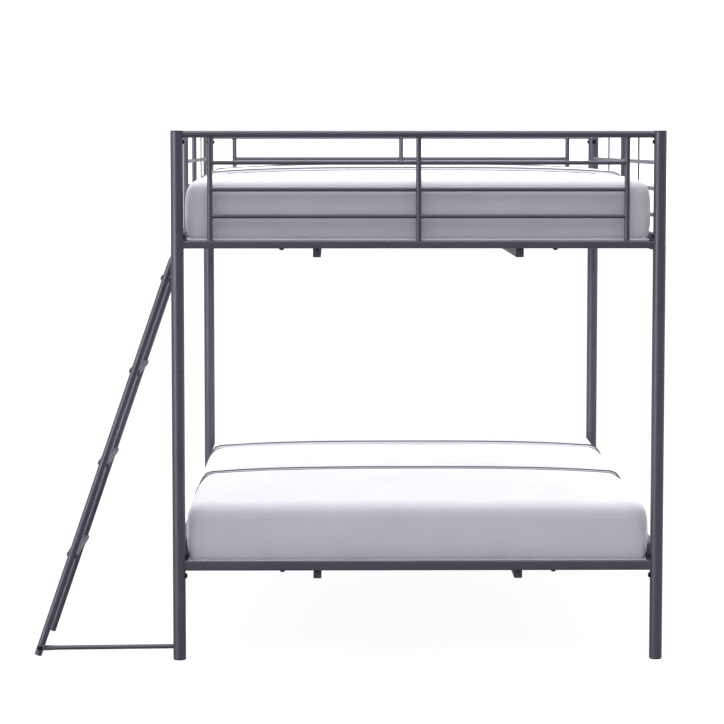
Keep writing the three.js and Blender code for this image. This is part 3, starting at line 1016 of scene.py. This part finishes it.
def smoothstep(value):
    value = np.clip(value, 0, 1)
    return value * value * (3 - 2 * value)


def mattress_top(x, y, flat):
    """Height of the top panel above the base, before its edges are rounded.

    flat is 1 where the near section lies level, and 0 where it is crowned.
    """
    along = np.abs(y)
    sunk = np.where(y < 0, 0.0095 * flat, 0.0)
    fall = (0.0297 - sunk) * (np.clip(along - CREST, 0, 1) / 0.3925) ** 2.5
    # the far section stands up at its seam, and the crowned near one falls to its own
    rim = np.where(y < 0, -0.0095 * (1 - flat), 0.0100)
    outer = 0.2107 - sunk - fall + rim * (np.clip(CREST - along, 0, 1) / 0.2425) ** 2.5
    dip = np.where(y < 0, 0.0045 - 0.005 * flat, 0.0035)
    middle = 0.2155 - dip * (np.clip(along, 0, SEAM_Y) / SEAM_Y) ** 2.5
    section = np.where(along > SEAM_Y, outer, middle)
    level = smoothstep((along - 0.55) / 0.38)  # the ends are flat across
    crown = 0.018 * (1 - 0.85 * level) * (np.abs(x) / HALF_W) ** 3
    # each section rolls over into the seam, steeply on the seam's far side
    beyond = y - np.sign(y) * SEAM_Y
    near = np.clip(1 - np.abs(beyond) / np.where(beyond > 0, SEAM_STEEP, SEAM_REACH), 0, 1)
    groove = SEAM_DEPTH * (1 - np.sqrt(np.clip(1 - near**2, 0, 1)))
    return section - crown - groove


def stations(half, step, dense=()):
    """Places from -half to half, closer together round the dense ones."""
    places = list(np.linspace(-half, half, round(2 * half / step) + 1))
    for place, reach, fine in dense:
        places = [p for p in places if abs(p - place) > reach + fine / 2]
        places += list(np.linspace(place - reach, place + reach, round(2 * reach / fine) + 1))
    return np.array(sorted(places))


def mattress_grid(step):
    """A box of quads: vertex parameters (x, y in metres, z in 0..1) and faces."""
    xs = stations(HALF_W, step)
    dense = [(seam_y, SEAM_REACH, SEAM_STEEP / 2) for seam_y in (-SEAM_Y, SEAM_Y)]
    ys = stations(HALF_L, step, dense)
    zs = np.linspace(0, 1, max(round(0.21 / step), 8) + 1)
    index, points, faces = {}, [], []

    def vertex(key):
        if key not in index:
            index[key] = len(points)
            i, j, k = key
            points.append([xs[i], ys[j], zs[k]])
        return index[key]

    def quad(*corners):
        faces.append(tuple(vertex(corner) for corner in corners))

    nx, ny, nz = len(xs) - 1, len(ys) - 1, len(zs) - 1
    for i in range(nx):
        for j in range(ny):
            quad((i, j, nz), (i + 1, j, nz), (i + 1, j + 1, nz), (i, j + 1, nz))
            quad((i, j, 0), (i, j + 1, 0), (i + 1, j + 1, 0), (i + 1, j, 0))
    for i in range(nx):
        for k in range(nz):
            quad((i, 0, k), (i + 1, 0, k), (i + 1, 0, k + 1), (i, 0, k + 1))
            quad((i, ny, k), (i, ny, k + 1), (i + 1, ny, k + 1), (i + 1, ny, k))
    for j in range(ny):
        for k in range(nz):
            quad((0, j, k), (0, j, k + 1), (0, j + 1, k + 1), (0, j + 1, k))
            quad((nx, j, k), (nx, j + 1, k), (nx, j + 1, k + 1), (nx, j, k + 1))
    return np.array(points), faces


def mattress_form(params, shrink, flat):
    """The parameters' points on a crowned, soft-edged slab of three sections."""
    half = np.array([HALF_W - shrink, HALF_L - shrink])
    x = params[:, 0] * half[0] / HALF_W
    y = params[:, 1] * half[1] / HALF_L
    height = mattress_top(x, y, flat) - shrink
    z = params[:, 2] * height
    # the roll of the edges: its reach across, along and up, above and below
    upper = params[:, 2] > 0.45
    ending = smoothstep((np.abs(y) - HALF_L + 0.13) / 0.13)
    radius_x = np.where(upper, 0.034, 0.020)
    radius_y = np.where(upper, 0.026, 0.016)
    radius_z = 0.070 - np.where(upper, 0.038, 0.045) * ending
    radius = np.stack([radius_x, radius_y, radius_z], axis=1)
    low = np.stack([-half[0] + radius_x, -half[1] + radius_y, radius_z], axis=1)
    high = np.stack([half[0] - radius_x, half[1] - radius_y, height - radius_z], axis=1)
    point = np.stack([x, y, z], axis=1)
    core = np.clip(point, low, high)
    away = (point - core) / radius
    most = np.abs(away).max(axis=1)
    norm = np.linalg.norm(away, axis=1)
    scale = np.where(norm > 1e-9, most / np.maximum(norm, 1e-9), 1.0)
    point = core + away * scale[:, None] * radius
    # the border swells at half height, most along the middle of each side
    lift = np.clip(point[:, 2] / height, 0, 1)
    belly = 4 * lift * (1 - lift)
    middle_y = 1 - (np.abs(point[:, 1]) / HALF_L) ** 6
    middle_x = 1 - (np.abs(point[:, 0]) / HALF_W) ** 4
    edge_x = np.clip((np.abs(point[:, 0]) - HALF_W + EDGE_BAND) / EDGE_BAND, 0, 1)
    edge_y = np.clip((np.abs(point[:, 1]) - HALF_L + EDGE_BAND) / EDGE_BAND, 0, 1)
    point[:, 0] += np.sign(point[:, 0]) * edge_x * belly * (0.009 + 0.002 * middle_y)
    point[:, 1] += np.sign(point[:, 1]) * edge_y * belly * 0.002 * middle_x
    # the seams pull the border in a little too
    pinch = np.clip(1 - np.abs(np.abs(point[:, 1]) - SEAM_Y) / 0.022, 0, 1) ** 2
    pull = 0.008 * np.clip(lift * 1.6, 0, 1)
    point[:, 0] -= np.sign(point[:, 0]) * edge_x * pinch * pull
    return point


def swell(obj, rest, pinned, frames, cap):
    """Inflates the closed cover with cloth, holding the pinned points, and applies it."""
    group = obj.vertex_groups.new(name="held")
    group.add([int(i) for i in pinned], 1.0, "REPLACE")
    modifier = obj.modifiers.new("cover", "CLOTH")
    settings = modifier.settings
    settings.quality = 4
    settings.mass = 0.4
    settings.tension_stiffness = 12
    settings.compression_stiffness = 12
    settings.shear_stiffness = 6
    settings.bending_stiffness = 0.6
    settings.use_pressure = True
    settings.uniform_pressure_force = 4.0
    settings.vertex_group_mass = "held"
    settings.effector_weights.gravity = 0
    modifier.collision_settings.use_collision = False
    modifier.collision_settings.use_self_collision = False
    scene = bpy.context.scene
    modifier.point_cache.frame_start, modifier.point_cache.frame_end = 1, frames
    for number in range(1, frames + 1):
        scene.frame_set(number)
    graph = bpy.context.evaluated_depsgraph_get()
    moved = obj.evaluated_get(graph).to_mesh()
    found = np.empty(len(moved.vertices) * 3)
    moved.vertices.foreach_get("co", found)
    obj.evaluated_get(graph).to_mesh_clear()
    obj.modifiers.remove(modifier)
    obj.vertex_groups.remove(group)
    scene.frame_set(1)
    shift = found.reshape(-1, 3) - rest
    length = np.linalg.norm(shift, axis=1)
    shift *= (np.minimum(length, cap) / np.maximum(length, 1e-9))[:, None]
    return rest + shift


def around_outline(half_x, half_y, step):
    """Points round a rectangle's edge, anticlockwise."""
    xs = np.linspace(-half_x, half_x, round(2 * half_x / step) + 1)[:-1]
    ys = np.linspace(-half_y, half_y, round(2 * half_y / step) + 1)[:-1]
    near = [(x, -half_y) for x in xs]
    right = [(half_x, y) for y in ys]
    far = [(-x, half_y) for x in xs]
    left = [(-half_x, -y) for y in ys]
    return near + right + far + left


def seam_lines(params, final):
    """The cover's points along both rims of each seam, over the top and down the border."""
    x, y, z = params.T
    lines = []
    for seam_y in (-SEAM_Y, SEAM_Y):
        for rim_y in (seam_y - SEAM_REACH, seam_y + SEAM_STEEP):
            row = np.abs(y - rim_y) < SAME
            left = np.nonzero(row & (x < -HALF_W + SAME) & (z > 0.45))[0]
            over = np.nonzero(row & (z > 1 - SAME) & (np.abs(x) < HALF_W - SAME))[0]
            right = np.nonzero(row & (x > HALF_W - SAME) & (z > 0.45))[0]
            left, over = left[np.argsort(z[left])], over[np.argsort(x[over])]
            right = right[np.argsort(-z[right])]
            lines.append([Vector(final[i]) for i in np.concatenate([left, over, right])])
    return lines


def build_mattress(bunk):
    node = f"mattress_{bunk}"
    body = f"mattress_{bunk}_body"
    flat = LEVEL_NEAR[bunk]
    origin = Vector((CENTRE.x, CENTRE.y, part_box(node)[0].z))
    step, shrink = ((0.020, 0.001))
    params, faces = mattress_grid(step)
    rest = mattress_form(params, shrink, flat)
    shape = Shape()
    shape.points = [Vector(p) + origin for p in rest]
    shape.faces = faces
    obj = make(shape, f"mattress_cover_{bunk}", FABRIC, body, [node], 180)
    final = rest + np.array(origin)
    seam = (np.abs(np.abs(params[:, 1]) - SEAM_Y) < 0.004) & (params[:, 2] > 0.3)
    pinned = np.nonzero((params[:, 2] < 0.05) | seam)[0]
    final = swell(obj, final, pinned, COVER_FRAMES, COVER_RISE)
    obj.data.vertices.foreach_set("co", final.ravel())
    obj.data.update()
    finer = obj.modifiers.new("finer", "SUBSURF")
    finer.levels = finer.render_levels = 1

    # dark cords along both rims of each seam, painted shade of the seam creases
    seam_shade = Shape()
    for line in seam_lines(params, final):
        sweep(seam_shade, line, circle(SEAM_SHADE_R, 8), up=Y)
    make(seam_shade, f"mattress_seam_shade_{bunk}", SEAM_SHADE, body)

    # piping round the bottom edge
    outline = around_outline(HALF_W, HALF_L, 0.030)
    base = mattress_form(np.array([[a, b, 0.0] for a, b in outline]), 0.0, flat)
    piping = Shape()
    loop = [Vector((p[0], p[1], PIPING_Z)) + origin for p in base]
    bead(piping, loop, PIPING_R, ripple=0.0)
    make(piping, f"mattress_piping_{bunk}", PIPING, body)


# ---- The bed ----

build_posts()
for end, sy in ENDS.items():
    build_end(end, sy)
for bunk in BUNKS:
    for side, sx in SIDES.items():
        build_side_rail(bunk, side, sx)
    build_deck(bunk)
build_guard("entry_guard", LEFT, -1, ENTRY_Y, {"rear": STRAP_Y})
build_guard("back_guard", RIGHT, 1, -POST_Y + POST_R, {"front": -STRAP_Y, "rear": STRAP_Y})
build_ladder()
build_brace()
build_bolts()
for bunk in BUNKS:
    build_mattress(bunk)

# ---- Studio: pale floor, soft light from all round, strongest from above ----

FLOOR_HALF = 30.0
FLOOR_CORNERS = ((-1, -1), (1, -1), (1, 1), (-1, 1))


def build_floor():
    corners = [at(sx * FLOOR_HALF, sy * FLOOR_HALF, 0) for sx, sy in FLOOR_CORNERS]
    mesh = bpy.data.meshes.new("floor")
    mesh.from_pydata([tuple(p) for p in corners], [], [(0, 1, 2, 3)])
    obj = linked("floor", mesh)
    material, tree, shader = new_material("pale_floor")
    tone = ramp(
        tree,
        noise_texture(tree, 0.8, 2.0),
        [(0.3, (0.10, 0.10, 0.101)), (0.7, (0.11, 0.11, 0.111))],
    )
    tree.links.new(tone, shader.inputs["Base Color"])
    set_inputs(shader, {"Roughness": 0.9, "Specular IOR Level": 0.1})
    set_inputs(shader, {"Emission Color": (1, 1, 1, 1)})
    # the studio floor shows white, but throws less light back up than it shows
    rays = tree.nodes.new("ShaderNodeLightPath")
    glow = maths(tree, "MULTIPLY_ADD", rays.outputs["Is Camera Ray"], 0.74, 0.20)
    tree.links.new(glow, shader.inputs["Emission Strength"])
    # seen from beneath, the floor is clear, so the underside shows
    face = tree.nodes.new("ShaderNodeNewGeometry")
    clear = tree.nodes.new("ShaderNodeBsdfTransparent")
    sides = tree.nodes.new("ShaderNodeMixShader")
    tree.links.new(face.outputs["Backfacing"], sides.inputs[0])
    tree.links.new(shader.outputs[0], sides.inputs[1])
    tree.links.new(clear.outputs[0], sides.inputs[2])
    tree.links.new(sides.outputs[0], tree.nodes["Material Output"].inputs["Surface"])
    obj.data.materials.append(material)


def build_world():
    """Light by compass bearing: dim in front, half bright beside and behind, full above."""
    world = bpy.data.worlds.new("studio")
    bpy.context.scene.world = world
    world.use_nodes = True
    tree = world.node_tree
    place = tree.nodes.new("ShaderNodeTexCoord")
    split = tree.nodes.new("ShaderNodeSeparateXYZ")
    tree.links.new(place.outputs["Generated"], split.inputs[0])
    ahead = maths(tree, "MULTIPLY", split.outputs["Y"], -1.0)
    bearing = maths(tree, "ARCTAN2", split.outputs["X"], ahead)
    turn = maths(tree, "MULTIPLY_ADD", bearing, 0.5 / math.pi, 0.5)
    around = ramp(
        tree,
        turn,
        [
            (0.0, (0.42,) * 3),
            (0.15, (0.42,) * 3),
            (0.225, (0.45,) * 3),
            (0.27, (0.36, 0.36, 0.41)),
            (0.40, (0.22, 0.22, 0.27)),
            (0.48, (0.12, 0.12, 0.15)),
            (0.70, (0.11, 0.11, 0.135)),
            (0.775, (0.45,) * 3),
            (0.85, (0.42,) * 3),
            (1.0, (0.42,) * 3),
        ],
    )
    overhead = ramp(tree, split.outputs["Z"], [(0.45, (0.0,) * 3), (0.9, (1.0,) * 3)])
    light = mixed(tree, overhead, around, (1.25, 1.25, 1.25, 1))
    # a plain white backdrop behind the bed from every side
    rays = tree.nodes.new("ShaderNodeLightPath")
    backdrop = mixed(tree, rays.outputs["Is Camera Ray"], light, (1, 1, 1, 1))
    tree.links.new(backdrop, tree.nodes["Background"].inputs["Color"])
    tree.nodes["Background"].inputs["Strength"].default_value = 1.85


def softbox(name, size, energy, place, turn=(0, 0, 0), hidden=()):
    """A rectangular light, left out of the kinds of ray that are named."""
    data = bpy.data.lights.new(name, "AREA")
    data.shape = "RECTANGLE"
    data.size, data.size_y = size
    data.energy = energy
    obj = linked(name, data)
    obj.location = place
    obj.rotation_euler = [math.radians(angle) for angle in turn]
    for ray in hidden:
        setattr(obj, f"visible_{ray}", False)


def build_lights():
    softbox("overhead_softbox", (4.0, 4.5), 60.0, at(0, 0.3, 4.2))
    # a strip that only glints on the left of the posts
    glint = ("camera", "diffuse")
    softbox("strip", (3.4, 3.4), 215.0, at(-5.1, -4.7, 1.2), (90, 0, -47), glint)
    # light for the lower bunk, under the upper deck and from both sides
    fill = ("camera", "glossy")
    softbox("bunk_softbox", (1.2, 1.7), 8.0, at(0, 0, 1.10), hidden=fill)
    for side, sx in SIDES.items():
        place = at(sx * 2.6, 0.5, 1.15)
        softbox(f"{side}_softbox", (2.4, 1.2), 18.0, place, (78, 0, 90 * sx), fill)


def build_camera():
    data = bpy.data.cameras.new("camera")
    data.sensor_width = 36.0
    data.lens = 127.18
    data.clip_end = 200.0
    obj = linked("camera", data)
    obj.location = at(-0.2552, -8.5137, 1.5369)
    obj.rotation_euler = (math.radians(90 - 4.887), 0, math.radians(-0.670))
    bpy.context.scene.camera = obj


build_floor()
build_world()
build_lights()
build_camera()
bpy.context.scene.view_settings.view_transform = "Standard"

bpy.context.view_layer.update()
